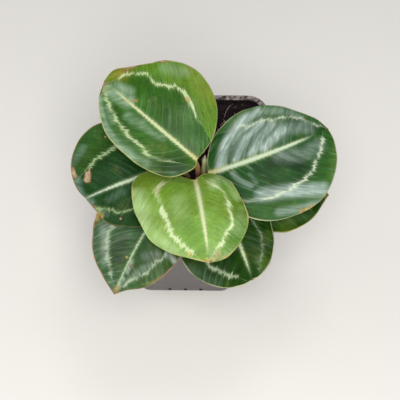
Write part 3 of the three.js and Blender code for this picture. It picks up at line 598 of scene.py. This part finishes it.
# ---- pot and soil materials ----
def pot_plastic():
    """Black plastic gone grey: chalky wall, crusted lip; painted shade with soil specks inside, and
    painted shade in the drain slots.
    """
    material, s, shader = new_material("black_pot_plastic")
    where, normal = s.place(), s.normal()
    height = s.split(where)[2]
    dust = s.use(DUST, Amount=0.4, Scale=90, Ledge=0.4)["Mask"]
    plastic = s.shade((84, 80, 80), s.use(MOTTLE, Scale=26, Amount=0.2)["Tone"])
    plastic = s.mix(dust * 0.5, plastic, (138, 128, 120))
    stretched = s.add("ShaderNodeMapping", {"Vector": where, "Scale": (1, 1, 0.12)})[0]
    runs = s.ramp(s.noise(420, 3, stretched), 0.52, 0.7, 0, 0.5)
    plastic = s.mix(runs * 0.22, plastic, (150, 144, 138))
    lip = s.ramp(height, (POT_HEIGHT - 1.6) * MM, (POT_HEIGHT - 0.4) * MM)
    crust = s.ramp(s.noise(230, 6, where, 0.75), 0.43, 0.55)
    plastic = s.mix(lip * 0.85, plastic, s.mix(crust, (42, 36, 37), (162, 147, 141)))
    # the inner wall is darkened to soil colour with specks: painted shade inside the pot, with soil
    # dirt on it
    facing = s.add("ShaderNodeVectorMath", {0: normal, 1: where}, operation="DOT_PRODUCT")
    inward = s.ramp(facing["Value"], -0.02, -0.004, 0.9, 0)
    # faces that look up low down, in the drain slots, get painted shade
    slot_shade = s.ramp(height, SLOT_SHADE_TOP * MM, (SLOT_SHADE_TOP + 1) * MM, 0.9, 0)
    slot_shade = slot_shade * s.ramp(s.split(normal)[2], 0.2, 0.4)
    shade_and_soil_specks = s.ramp(s.noise(520, 4, where, 0.7), 0.52, 0.66)
    plastic = s.mix(s.math("MAXIMUM", inward, slot_shade), plastic,
                    s.mix(shade_and_soil_specks, (24, 18, 20), (74, 58, 52)))
    relief = s.noise(2200, 2, where) * 0.5 + s.noise(300, 3, where)
    s.coat(shader, plastic, dust * 0.3 + 0.42, relief, strength=0.18, depth=0.2)
    return material


def crumbly(name, low, high, fleck, scale):
    """Damp organic crumb: dark and light bits, rough all over."""
    material, s, shader = new_material(name)
    where = s.place()
    grit = s.noise(scale * 7, 5, where, 0.7)
    colour = s.mix(s.ramp(grit, 0.35, 0.68), low, high)
    colour = s.shade(colour, s.use(MOTTLE, Scale=scale, Amount=1.2)["Tone"])
    colour = s.mix(s.ramp(s.noise(scale * 4, 3, where), 0.62, 0.72), colour, fleck)
    dust = s.use(DUST, Amount=0.25, Scale=scale, Ledge=0.1)["Mask"]
    colour = s.mix(dust * 0.3, colour, fleck)
    shader["Specular IOR Level"].default_value = 0.2
    s.coat(shader, colour, grit * 0.3 + 0.65, grit, strength=0.7, depth=0.6)
    return material


def studio_floor():
    material, s, shader = new_material("pale_studio_floor")
    mottle = s.use(MOTTLE, Scale=9, Amount=0.05)["Tone"]
    s.feed(shader["Base Color"], s.shade((235, 231, 224), mottle))
    shader["Roughness"].default_value = 0.6
    return material


# ---- mesh helpers ----
def new_object(name, data):
    made = bpy.data.objects.new(name, data)
    bpy.context.scene.collection.objects.link(made)
    return made


def new_mesh(name, points, faces):
    """A mesh from points in mm."""
    mesh = bpy.data.meshes.new(name)
    mesh.from_pydata((np.asarray(points, float) * MM).tolist(), [], faces)
    return mesh


def mesh_of(name, bm):
    """A mesh from a bmesh, which it uses up."""
    mesh = bpy.data.meshes.new(name)
    bm.to_mesh(mesh)
    bm.free()
    return mesh


def new_piece(mesh, *materials):
    """An object of the mesh's name, shaded smooth."""
    for material in materials:
        mesh.materials.append(material)
    mesh.polygons.foreach_set("use_smooth", [True] * len(mesh.polygons))
    mesh.update()
    return new_object(mesh.name, mesh)


def paint(piece, name, values):
    """Stores one number or one vector for each point of the mesh."""
    values = np.asarray(values, float)
    kind, slot = ("FLOAT", "value") if values.ndim == 1 else ("FLOAT_VECTOR", "vector")
    layer = piece.data.attributes.new(name, kind, "POINT")
    layer.data.foreach_set(slot, values.ravel())


def settle(piece, slot, *nodes):
    """Every piece rides on the one body, and the part's nodes that it stands for are hidden; slot, the
    name of its finish, is not used.
    """
    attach(piece, "root")
    if nodes:
        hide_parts(*nodes)


def smooth_step(x, low, high):
    t = np.clip((np.asarray(x, float) - low) / (high - low), 0, 1)
    return t * t * (3 - 2 * t)


def unit(v):
    return v / np.linalg.norm(v, axis=-1, keepdims=True)


def smooth_line(corners, per_span=16):
    """Catmull-Rom curve through the corners, the end ones doubled."""
    c = np.asarray(corners, float)
    c = np.vstack([c[:1], c, c[-1:]])
    t = np.linspace(0, 1, per_span, endpoint=False)[:, None]
    spans = []
    for a, b, d, e in zip(c, c[1:], c[2:], c[3:]):
        spans.append(b + 0.5 * t * ((d - a) + t * ((2 * a - 5 * b + 4 * d - e)
                                                  + t * (3 * (b - d) + e - a))))
    return np.vstack(spans + [c[-1:]])


def at_shares(line, shares):
    """Points of a polyline at shares of its length."""
    steps = np.linalg.norm(np.diff(line, axis=0), axis=1)
    run = np.concatenate([[0], np.cumsum(steps)]) / steps.sum()
    return np.stack([np.interp(shares, run, line[:, k]) for k in range(line.shape[1])], -1)


def distance_to(points, line):
    """Distance of each point from a polyline, positive on its left side."""
    best = np.full(len(points), np.inf)
    sign = np.ones(len(points))
    for p, q in zip(line[:-1], np.diff(line, axis=0)):
        reach = max((q * q).sum(), 1e-12)
        away = points - p
        t = np.clip((away @ q) / reach, 0, 1)
        gap = np.linalg.norm(away - t[:, None] * q, axis=1)
        near = gap < best
        best = np.where(near, gap, best)
        sign = np.where(near, np.sign(q[0] * away[:, 1] - q[1] * away[:, 0]), sign)
    return best * np.where(sign == 0, 1, sign)


def stack(rings, bottom, top):
    """Points and faces of a skin over stacked rings, closed by a point at each end."""
    count = len(rings[0])
    points = [bottom] + [p for ring in rings for p in ring] + [top]
    last_row = 1 + (len(rings) - 1) * count
    faces = []
    for k in range(count):
        n = (k + 1) % count
        faces.append([0, 1 + n, 1 + k])
        for low in range(1, last_row, count):
            high = low + count
            faces.append([low + k, low + n, high + n, high + k])
        faces.append([len(points) - 1, last_row + k, last_row + n])
    return points, faces


# ---- leaf blades ----
BLADE_STEPS = 132
ROW_SHARES = np.concatenate([
    [0, 0.012, 0.026, 0.044, 0.066, 0.092],
    np.linspace(0.12, 0.97, 29), [0.985, 1.0],
])
TOP, BACK, RIM = range(3)  # layers of points; the first two are the material slots too
EDGE_THINNING = 0.65
RIDGE_HEIGHT = 0.22  # of the midrib on the upper face, mm
RIDGE_REACH = 1.1
KEEL_REACH = 1.15
FRILL_HEIGHT = 0.28
QUILT_HEIGHT = 0.07
QUILT_PITCH = 4.6
DENT_DEPTH = 0.45
RIM_SWELL = 0.12  # how far the rounded edge stands past the outline


class Blade:
    """One leaf blade's form: its midrib, and the curved face spread out from it."""

    def __init__(self, leaf):
        self.leaf = leaf
        base, tip = np.array(leaf["base"], float), np.array(leaf["tip"], float)
        side = np.cross((0, 0, 1), tip - base)
        side[2] = 0
        middle = (base + tip) / 2 + 2 * leaf["arch"] * np.array((0, 0, 1))
        self.ends = base, middle + 2 * leaf["bow"] * unit(side), tip
        steps = self.spread(np.linspace(0, 1, 101))[0]
        self.length = np.linalg.norm(np.diff(steps, axis=0), axis=1).sum()

    def spread(self, u):
        """Point of the midrib and the three directions there, at shares u along it."""
        a, b, c = self.ends
        t = np.clip(u, 0, 1)[:, None]
        slope = 2 * (1 - t) * (b - a) + 2 * t * (c - b)
        point = (1 - t) ** 2 * a + 2 * t * (1 - t) * b + t * t * c + slope * (u[:, None] - t)
        along = unit(slope)
        flat = unit(np.cross((0, 0, 1), along))
        roll = math.radians(self.leaf["roll"])
        across = flat * math.cos(roll) + np.cross(along, flat) * math.sin(roll)
        return point, along, across, np.cross(along, across)

    def face(self, u, w, lift):
        """Points of the blade at shares u and w mm out, raised by lift."""
        point, _, across, out = self.spread(u)
        fold = self.leaf["fold"] * (np.hypot(w, 3) - 3) - self.leaf["sag"] * w * w
        return point + across * w[:, None] + out * (fold + lift)[:, None]

    def half(self, side):
        """The outline of one half in percent and mm."""
        corners = self.leaf["left" if side > 0 else "right"]
        ends = [(0, 0), *corners, (100, 0)]
        return smooth_line([(x, side * y) for x, y in ends])

    def band(self, side):
        """The line of the pale band on one half, in mm along and mm out."""
        line = smooth_line(self.leaf["band_left" if side > 0 else "band_right"])
        return line * (self.length / 100, 1)


def relief(leaf, along, w, v, t, side):
    """How far a blade stands off its plain curve: margin waves, quilting, broad dents."""
    seed = len(leaf["name"]) * 1.7 + side
    swell = np.sin(np.pi * t)
    wave = leaf["wave"] * v * v * swell * np.sin(2 * np.pi * leaf["waves"] * t + side)
    frill = np.sin(2 * np.pi * 2.7 * leaf["waves"] * t + 3 * seed) * v ** 5 * swell
    out = np.abs(w)
    start = along - LEAN * out - CURL * out * out
    phase = start / QUILT_PITCH + 0.3 * np.sin(0.21 * start + seed)
    phase = phase + 0.12 * np.sin(0.3 * out + seed)
    quilt = np.cos(2 * np.pi * phase) * smooth_step(out, 1.5, 8) * (1 - smooth_step(v, 0.8, 1))
    dents = np.sin(0.085 * along + 1.9 * seed) * np.sin(0.11 * out + 2.3 * seed)
    dents = dents + 0.5 * np.sin(0.19 * along - 0.16 * out + seed)
    dents = dents * smooth_step(v, 0.1, 0.6) * swell
    return wave + FRILL_HEIGHT * frill + QUILT_HEIGHT * quilt + DENT_DEPTH * dents


def patches(spots, along, w, length):
    """Soft-edged patches laid over each other: full along their lines, gone past 1.2 radii."""
    where = np.stack([along, w], -1)
    level = np.zeros(len(along))
    for line, radius, strength in spots:
        line = smooth_line(line, 6) if len(line) > 1 else np.array(line * 2, float)
        gap = np.abs(distance_to(where, line * (length / 100, 1))) / radius
        level = np.maximum(level, strength * (1 - smooth_step(gap, 0.1, 1.2)))
    return level


def make_blade(leaf, face, back):
    """Both faces of a blade and its thin edge, with what its finishes read painted on."""
    form = Blade(leaf)
    last = len(ROW_SHARES) - 1
    steps = np.linspace(0, 1, BLADE_STEPS + 1)
    t, v = (g.ravel() for g in np.meshgrid(steps, ROW_SHARES, indexing="ij"))
    points, traits, index = [], [], {}
    faces, finishes = [], []

    def key(layer, side, i, j):
        """Name of a point; the halves share those of the midrib and of both ends."""
        shared = j == 0 or i in (0, BLADE_STEPS)
        return (layer, 0, i, 0) if shared else (layer, side, i, j)

    def add(finish, side, turned, *corners):
        """A face through named points, without doubled ones; under three there is none."""
        ring = [index[key(layer, side, i, j)] for layer, i, j in corners]
        ring = [p for k, p in enumerate(ring) if p != ring[k - 1]]
        if len(set(ring)) > 2:
            faces.append(ring if (side > 0) != turned else ring[::-1])
            finishes.append(finish)

    for side in (1, -1):
        edge = at_shares(form.half(side), steps)
        ex, ey = np.repeat(edge[:, 0], last + 1) / 100, np.repeat(edge[:, 1], last + 1)
        u, w = t + (ex - t) * v, ey * v
        along, out = u * form.length, np.abs(w)
        lift = relief(leaf, along, w, v, t, side)
        thick = BLADE_THICK / 2 * (1 - EDGE_THINNING * smooth_step(v, 0.7, 1))
        ridge = RIDGE_HEIGHT * np.exp(-((out / RIDGE_REACH) ** 2)) * (1 - 0.7 * t)
        keel = KEEL * (1 - 0.75 * t) * np.exp(-((out / KEEL_REACH) ** 2))
        upper = form.face(u, w, lift + thick + ridge)
        lower = form.face(u, w, lift - thick - keel)
        rim = form.face(ex, ey * (1 + RIM_SWELL / np.maximum(np.abs(ey), 0.5)), lift)
        flat = np.stack([along, out], -1)
        gap = distance_to(flat, form.band(side))
        margin = np.abs(distance_to(flat, edge * (form.length / 100, side)))
        for layer, surface in ((TOP, upper), (BACK, lower), (RIM, rim)):
            for n, place in enumerate(surface):
                i, j = divmod(n, last + 1)
                name = key(layer, side, i, j)
                if name in index or (layer == RIM and j != last):
                    continue
                index[name] = len(points)
                points.append(place)
                traits.append((along[n], w[n], u[n], gap[n], margin[n]))

        for i in range(BLADE_STEPS):
            for j in range(last):
                for layer in (TOP, BACK):
                    add(layer, side, layer == BACK, (layer, i, j), (layer, i + 1, j),
                        (layer, i + 1, j + 1), (layer, i, j + 1))
            for finish, a, b in ((TOP, TOP, RIM), (BACK, RIM, BACK)):
                add(finish, side, False, (a, i, last), (a, i + 1, last), (b, i + 1, last),
                    (b, i, last))

    piece = new_piece(new_mesh(f"blade_{leaf['name']}", points, faces), face, back)
    piece.data.polygons.foreach_set("material_index", finishes)
    traits = np.array(traits)
    paint(piece, "blade_mm", traits[:, :3])
    paint(piece, "band_gap", traits[:, 3])
    paint(piece, "margin_mm", traits[:, 4])
    # Of these patches the darkening ones are painted shade with deeper green, and the pale ones along
    # the veins are painted sheen; gold, ochre and dead leaf are the leaf's own.
    for name, spots in (("gold", "golds"), ("shade_and_deep_green", "shade_and_deep_patches"), ("dry", "dries"),
                        ("sere", "sears"), ("painted_sheen", "painted_sheens")):
        paint(piece, name, patches(leaf[spots], traits[:, 0], traits[:, 1], form.length))
    settle(piece, "leaf", f"leaf_{leaf['name']}")
    return form


# ---- stalks and the rolled leaf ----
STALK_RUN_ON = 2.2  # how far a stalk runs on under its blade, mm


def bezier(ends, count=60):
    t = np.linspace(0, 1, count)[:, None]
    ends = [np.asarray(e, float) for e in ends]
    while len(ends) > 1:
        ends = [a * (1 - t) + b * t for a, b in zip(ends, ends[1:])]
    return ends[0]


def tube(line, radius_at, sides=20, steps=56):
    """Points and faces of a rod along a line, and the share and angle of each point.

    radius_at gives its radius at a share of its length and an angle round it.
    """
    shares = np.linspace(0, 1, steps + 1)
    centres = at_shares(line, shares)
    ways = unit(np.gradient(centres, axis=0))
    normal = unit(np.cross(ways[0], (0.31, 0.95, 0.02)))
    rings, marks = [], [(0, 0)]
    for centre, way, share in zip(centres, ways, shares):
        normal = unit(normal - way * (normal @ way))
        other = np.cross(way, normal)
        ring = []
        for k in range(sides):
            angle = 2 * math.pi * k / sides
            out = normal * math.cos(angle) + other * math.sin(angle)
            ring.append(centre + radius_at(share, angle) * out)
            marks.append((share, angle))
        rings.append(ring)
    points, faces = stack(rings, centres[0], centres[-1])
    return points, faces, np.array([*marks, (1, 0)])


def out_of_soil(root):
    """Where a stalk is rooted and where it leaves the soil."""
    foot = np.array((*root, SOIL_TOP - ROOT_DEPTH + CLEAR))
    return foot, np.array((*root, SOIL_TOP + SOIL_LUMP))


def stalk_radius(t, _):
    """The same all round: sheathed foot, slim stem, swollen knee, narrowed into the blade."""
    sheath = (ROOT_RADIUS - STALK_RADIUS) * (1 - smooth_step(t, 0.15, 0.6))
    knee = (1.1 * KNEE_RADIUS - STALK_RADIUS) * smooth_step(t, 0.6, 0.84)
    return float(STALK_RADIUS + sheath + knee) * float(1 - 0.45 * smooth_step(t, 0.96, 1))


def make_stalk(leaf, form, skin):
    _, along, _, out = (d[0] for d in form.spread(np.array([0.0])))
    under = BLADE_THICK / 2 + 0.7 * KEEL
    end = np.array(leaf["base"], float) + STALK_RUN_ON * along - under * out
    foot, collar = out_of_soil(leaf["root"])
    reach = np.linalg.norm(end - collar)
    rise = bezier([collar, collar + (0, 0, 0.5 * reach), end - 0.28 * reach * out, end])
    points, faces, marks = tube(np.vstack([foot, rise]), stalk_radius)
    share, angle = marks.T
    piece = new_piece(new_mesh(f"stem_{leaf['name']}", points, faces), skin)
    paint(piece, "rise", share)
    flank = smooth_step(np.cos(angle - 0.6), 0.25, 0.8) * smooth_step(share, 0.3, 0.6)
    paint(piece, "flank", flank)
    settle(piece, "stalk", f"stalk_{leaf['name']}")


def seam_turn(share, angle):
    """How far round from the rolled leaf's seam, 0 to 1; the seam winds round as it rises."""
    return (angle / (2 * math.pi) - 1.3 * share) % 1


def rolled_radius(t, angle):
    taper = 1.12 * SHOOT["radius"] * float(1 - 0.72 * smooth_step(t, 0.8, 1))
    return taper * (0.84 + 0.2 * seam_turn(t, angle))


def make_rolled_leaf(skin):
    """The newest leaf, still rolled: a slim spear with a seam winding round it."""
    foot, collar = out_of_soil(SHOOT["root"])
    tip = np.array(SHOOT["tip"], float)
    knee = np.array((collar[0], collar[1], (collar[2] + tip[2]) / 2))
    line = np.vstack([foot, bezier([collar, knee, tip])])
    points, faces, marks = tube(line, rolled_radius, sides=40, steps=70)
    share, angle = marks.T
    piece = new_piece(new_mesh("rolled_leaf", points, faces), skin)
    paint(piece, "rise", share)
    paint(piece, "flank", smooth_step(seam_turn(share, angle), 0.86, 0.98))
    settle(piece, "shoot", "young_shoot")


# ---- pot ----
CORNER_STEPS = 14
SIDE_STEPS = 8
LIP_BOTTOM = POT_HEIGHT - LIP_DEPTH
NECK_WIDTH = RIM_WIDTH - 2 * LIP_REACH
SHARP_ANGLE = 50  # degrees; edges steeper than this stay sharp


def square_ring(width, radius, z):
    """Points round a square with rounded corners, counter-clockwise from above."""
    ring = []
    middle = width / 2 - radius
    for corner in range(4):
        turn = corner * math.pi / 2
        out = np.array((math.cos(turn), math.sin(turn)))
        on = np.array((-out[1], out[0]))
        for k in range(CORNER_STEPS + 1):
            angle = k / CORNER_STEPS * math.pi / 2
            ring.append(out * (middle + radius * math.cos(angle))
                        + on * (middle + radius * math.sin(angle)))
        for k in range(1, SIDE_STEPS):
            ring.append(on * (middle + radius) + out * middle * (1 - 2 * k / SIDE_STEPS))
    return [(x, y, z) for x, y in ring]


def wall_ring(z, inset):
    share = z / LIP_BOTTOM
    width = FOOT_WIDTH + (NECK_WIDTH - FOOT_WIDTH) * share
    radius = FOOT_RADIUS + (RIM_RADIUS - LIP_REACH - FOOT_RADIUS) * share
    return square_ring(width - 2 * inset, radius - inset, z)


def lip_ring(z, inset):
    return square_ring(RIM_WIDTH - 2 * inset, RIM_RADIUS - inset, z)


def rounded_lip(z, inset, first, last, count=5):
    """Rings round an edge of the lip, by angle in degrees from outward to up."""
    rings = []
    for k in range(count + 1):
        a = math.radians(first + (last - first) * k / count)
        rings.append(lip_ring(z + LIP_EDGE * math.sin(a), inset + LIP_EDGE * (1 - math.cos(a))))
    return rings


def drain_cutter():
    """Blocks that cut the drain slots, low in each wall."""
    bm = bmesh.new()
    for side in range(4):
        for k in range(DRAINS_PER_SIDE):
            along = (k - (DRAINS_PER_SIDE - 1) / 2) * DRAIN_PITCH
            slot = bmesh.ops.create_cube(bm, size=1)["verts"]
            size = Matrix.Diagonal((DRAIN_WIDTH, 2 * DRAIN_DEPTH, DRAIN_HEIGHT, 1))
            place = Matrix.Rotation(side * math.pi / 2, 4, "Z") @ Matrix.Translation(
                (along, -FOOT_WIDTH / 2, DRAIN_SILL + DRAIN_HEIGHT / 2)) @ size
            bmesh.ops.transform(bm, matrix=Matrix.Scale(MM, 4) @ place, verts=slot)
    return new_object("drain_slots", mesh_of("drain_slots", bm))


def cut_out(piece, cutter):
    """Takes the cutter's shape out of a piece, and drops the cutter."""
    cut = piece.modifiers.new("drain slots", "BOOLEAN")
    cut.operation, cut.object, cut.solver = "DIFFERENCE", cutter, "EXACT"
    graph = bpy.context.evaluated_depsgraph_get()
    made = bpy.data.meshes.new_from_object(piece.evaluated_get(graph))
    old = [piece.data, cutter.data]
    piece.modifiers.clear()
    piece.data = made
    made.name = piece.name
    bpy.data.objects.remove(cutter)
    for mesh in old:
        bpy.data.meshes.remove(mesh)


def sharpen(piece):
    """Smooth shading that breaks at the steep edges."""
    bm = bmesh.new()
    bm.from_mesh(piece.data)
    for edge in bm.edges:
        if len(edge.link_faces) == 2:
            edge.smooth = edge.calc_face_angle(0) < math.radians(SHARP_ANGLE)
    for face in bm.faces:
        face.smooth = True
    bm.to_mesh(piece.data)
    bm.free()


def make_pot(plastic):
    inner = LIP_REACH + WALL
    rings = [wall_ring(0, 0.9), wall_ring(0.25, 0.25), wall_ring(0.9, 0)]
    rings += [wall_ring(z, 0) for z in np.linspace(6, LIP_BOTTOM - 2.5, 12)]
    rings += [wall_ring(LIP_BOTTOM - 1.2, 0), wall_ring(LIP_BOTTOM - 0.2, -0.3)]
    rings += rounded_lip(LIP_BOTTOM + LIP_EDGE, 0, -90, 0)
    rings += [lip_ring(POT_HEIGHT - 3.4, 0), lip_ring(POT_HEIGHT - 2.6, 0.15)]
    rings += rounded_lip(POT_HEIGHT - LIP_EDGE, 0.15, 0, 90)
    rings += [lip_ring(POT_HEIGHT, inner - LIP_EDGE - 0.8)]
    for a in (1.57, 1.1, 0.6, 0):
        rings.append(lip_ring(POT_HEIGHT - LIP_EDGE + LIP_EDGE * math.sin(a),
                              inner - LIP_EDGE * math.cos(a)))
    rings += [wall_ring(z, WALL) for z in (LIP_BOTTOM, 110, 80, 40, FLOOR + 1.2)]
    rings += [wall_ring(FLOOR + 0.3, WALL + 0.3), wall_ring(FLOOR, WALL + 1.2)]
    points, faces = stack(rings, (0, 0, 0), (0, 0, FLOOR))
    pot = new_piece(new_mesh("pot_shell", points, faces), plastic)
    cut_out(pot, drain_cutter())
    sharpen(pot)
    settle(pot, "pot_plastic", "pot")


# ---- soil ----
SOIL_WIDTH = NECK_WIDTH - 2 * (WALL + CLEAR)
SOIL_RADIUS = RIM_RADIUS - LIP_REACH - WALL - CLEAR
SOIL_RINGS = 46
SOIL_REACH = 58  # loose bits are tried this far out from the middle, on the soil and the lip
RIM_REACH = 62
LIP_FLAT = 0.9, 4.2  # from the pot's outer face to where the flat of the lip starts and ends
EDGE_DIP = 0.8
FIBRE_SPANS = 8
FIBRE_ARCH = 1.1


def outside(x, y, width, radius):
    """How far a point stands outside a square with rounded corners, in mm."""
    a, b = abs(x) - width / 2 + radius, abs(y) - width / 2 + radius
    return math.hypot(max(a, 0), max(b, 0)) + min(max(a, b), 0) - radius


def soil_top(x, y):
    """Height of the loose surface, which is banked up along the wall."""
    broad = math.sin(0.13 * x + 1.1) * math.cos(0.11 * y - 0.4)
    fine = math.sin(0.31 * x - 0.27 * y) * math.sin(0.24 * y + 0.35 * x + 2)
    rough = noise.fractal(Vector((x, y, 3)) * 0.16, 0.9, 2.1, 5)
    bank = SOIL_BANK * float(smooth_step(outside(x, y, SOIL_WIDTH, SOIL_RADIUS), -13, -2))
    return SOIL_TOP + (SOIL_LUMP * (0.6 * broad + 0.4 * fine) + rough + bank)


def make_soil(earth):
    inset = WALL + CLEAR
    rings = [wall_ring(FLOOR + CLEAR, inset), wall_ring(60, inset), wall_ring(110, inset)]
    edge = wall_ring(SOIL_TOP, inset)
    for k in range(SOIL_RINGS):
        share = 1 - k / SOIL_RINGS
        ring = [(x * share, y * share) for x, y, _ in edge]
        dip = EDGE_DIP if k == 0 else 0
        rings.append([(x, y, soil_top(x, y) - dip) for x, y in ring])
    points, faces = stack(rings, (0, 0, FLOOR + CLEAR), (0, 0, soil_top(0, 0)))
    piece = new_piece(new_mesh("potting_soil", points, faces), earth)
    settle(piece, "potting_soil", "soil")


def clear_of_stalks(x, y, gap):
    roots = [leaf["root"] for leaf in LEAVES] + [SHOOT["root"]]
    return all(math.hypot(x - a, y - b) > gap for a, b in roots)


def soil_spot(size):
    """A random place on the soil for a bit of this size, clear of the wall and the stalks."""
    while True:
        x, y = random.uniform(-SOIL_REACH, SOIL_REACH), random.uniform(-SOIL_REACH, SOIL_REACH)
        if outside(x, y, SOIL_WIDTH, SOIL_RADIUS) < -size and clear_of_stalks(
                x, y, ROOT_RADIUS + size):
            return x, y, soil_top(x, y)


def lip_spot(size):
    """A random place on the flat of the lip."""
    near, far = LIP_FLAT
    while True:
        x, y = random.uniform(-RIM_REACH, RIM_REACH), random.uniform(-RIM_REACH, RIM_REACH)
        if size - far < outside(x, y, RIM_WIDTH, RIM_RADIUS) < -near - size:
            return x, y, POT_HEIGHT


def make_crumbs(name, batches, flat, material):
    """Loose bits, each a small rough lump.

    A batch is (place for one, how many, least and greatest size), and flat is the least and
    greatest share of a bit's size that is its height.
    """
    joined = bmesh.new()
    for spot, count, low, high in batches:
        for _ in range(count):
            size = random.uniform(low, high)
            x, y, z = spot(1.3 * size)
            lump = bmesh.ops.create_icosphere(joined, subdivisions=2, radius=1)["verts"]
            seed = Vector((random.random() * 90, random.random() * 90, 5))
            for vert in lump:
                vert.co *= 1 + 0.45 * noise.noise(vert.co * 1.3 + seed)
            shape = Matrix.Diagonal((size * random.uniform(0.7, 1.5), size,
                                     size * random.uniform(*flat), 1))
            turn = Matrix.Rotation(random.uniform(0, 6.3), 4, "Z") @ Matrix.Rotation(
                random.uniform(-0.5, 0.5), 4, "X")
            place = Matrix.Translation((x, y, z + 0.15 * size))
            bmesh.ops.transform(joined, matrix=Matrix.Scale(MM, 4) @ place @ turn @ shape,
                                verts=lump)
    settle(new_piece(mesh_of(name, joined), material), "potting_soil")


def make_fibres(count, material):
    """Coir fibres lying over the crumbs, each a thin bent strand."""
    points, faces = [], []
    while count:
        x, y, _ = soil_spot(1)
        way, bend = random.uniform(0, 6.3), random.uniform(-0.16, 0.16)
        span = random.uniform(5, 14) / FIBRE_SPANS
        line = []
        for k in range(FIBRE_SPANS + 1):
            arch = FIBRE_ARCH * math.sin(math.pi * k / FIBRE_SPANS) * random.uniform(0.5, 1)
            line.append((x, y, soil_top(x, y) + 0.5 + arch))
            x += span * math.cos(way)
            y += span * math.sin(way)
            way += bend + random.uniform(-0.2, 0.2)
        if any(outside(x, y, SOIL_WIDTH, SOIL_RADIUS) > -1
               or not clear_of_stalks(x, y, ROOT_RADIUS + 0.6) for x, y, _ in line):
            continue
        count -= 1
        thick = random.uniform(0.14, 0.3)
        more, rings, _ = tube(smooth_line(line, 3), lambda *_: thick, sides=5, steps=16)
        faces += [[len(points) + p for p in face] for face in rings]
        points += more
    settle(new_piece(new_mesh("coir_fibres", points, faces), material), "potting_soil")


# ---- building the plant ----
make_pot(pot_plastic())
make_soil(crumbly("dark_potting_soil", (8, 4, 7), (23, 14, 17), (52, 35, 34), 120))
make_crumbs("soil_crumbs", [(soil_spot, 620, 0.7, 2.3), (lip_spot, 60, 0.3, 0.8)], (0.5, 0.9),
            crumbly("soil_crumb", (10, 6, 8), (48, 33, 33), (84, 62, 56), 160))
make_crumbs("bark_bits", [(soil_spot, 90, 1.2, 2.8), (lip_spot, 40, 0.3, 0.9)], (0.3, 0.5),
            crumbly("bark_bit", (32, 19, 19), (88, 60, 52), (134, 102, 88), 140))
make_fibres(140, crumbly("coir_fibre", (150, 110, 102), (218, 182, 168), (232, 208, 196), 200))

# tan skin for the back_left stalk, brightened past its own colour as painted light in the shaded gap
# under its blade
tan_brightened_skin = stalk_skin("tan_brightened_stalk_skin", foot=(124, 86, 62), stem=(236, 180, 110),
                      knee=(232, 184, 118), blush=(140, 52, 40), turn=(0.35, 0.6))
plain_skin = stalk_skin("stalk_skin", foot=(96, 70, 62), stem=(128, 118, 70),
                        knee=(176, 140, 86), blush=(120, 46, 40), turn=(0.35, 0.6))
rolled_skin = stalk_skin("rolled_leaf_skin", foot=(140, 130, 98), stem=(214, 232, 166),
                         knee=(220, 196, 168), blush=(176, 138, 112), turn=(0.86, 0.97))
wine = underside()
for leaf in LEAVES:
    form = make_blade(leaf, upper_face(leaf), wine)
    make_stalk(leaf, form, tan_brightened_skin if leaf["name"] == "back_left" else plain_skin)
make_rolled_leaf(rolled_skin)

# ---- floor, lights, camera ----
bpy.ops.mesh.primitive_plane_add(size=6, location=(0, 0, 0))
floor = bpy.context.object
floor.name = "studio_floor"
floor.data.materials.append(studio_floor())


def soft_light(name, where, size, power):
    """A round lamp that looks at the pot."""
    data = bpy.data.lights.new(name, "AREA")
    data.shape, data.size, data.energy = "DISK", size, power
    light = new_object(name, data)
    light.location = where
    light.rotation_euler = (Vector((0, 0, 0.14)) - Vector(where)).to_track_quat(
        "-Z", "Y").to_euler()


soft_light("main_softbox", (0.05, -0.75, 1.3), 0.8, 15.5)
soft_light("overhead_softbox", (0.15, 0.3, 1.4), 0.45, 2)
soft_light("front_fill", (0.1, -1.5, 0.7), 1.2, 6)
soft_light("left_fill", (-1.4, 0.1, 0.9), 1.0, 3)

world = bpy.data.worlds.new("studio_air")
bpy.context.scene.world = world
world.use_nodes = True
world.node_tree.nodes["Background"].inputs[0].default_value = (0.93, 0.96, 1, 1)
world.node_tree.nodes["Background"].inputs[1].default_value = 0.3
bpy.context.scene.view_settings.view_transform = "Standard"

CAMERA_TILT = 59  # degrees above the horizon
CAMERA_TURN = 0.7
camera_data = bpy.data.cameras.new("camera")
camera_data.sensor_width = 36
camera_data.lens = 90
camera_data.shift_x = 0.035
camera = new_object("camera", camera_data)
camera.location = (0.004965, -0.406372, 0.759446)
camera.rotation_euler = (math.radians(90 - CAMERA_TILT), 0, math.radians(CAMERA_TURN))
bpy.context.scene.camera = camera
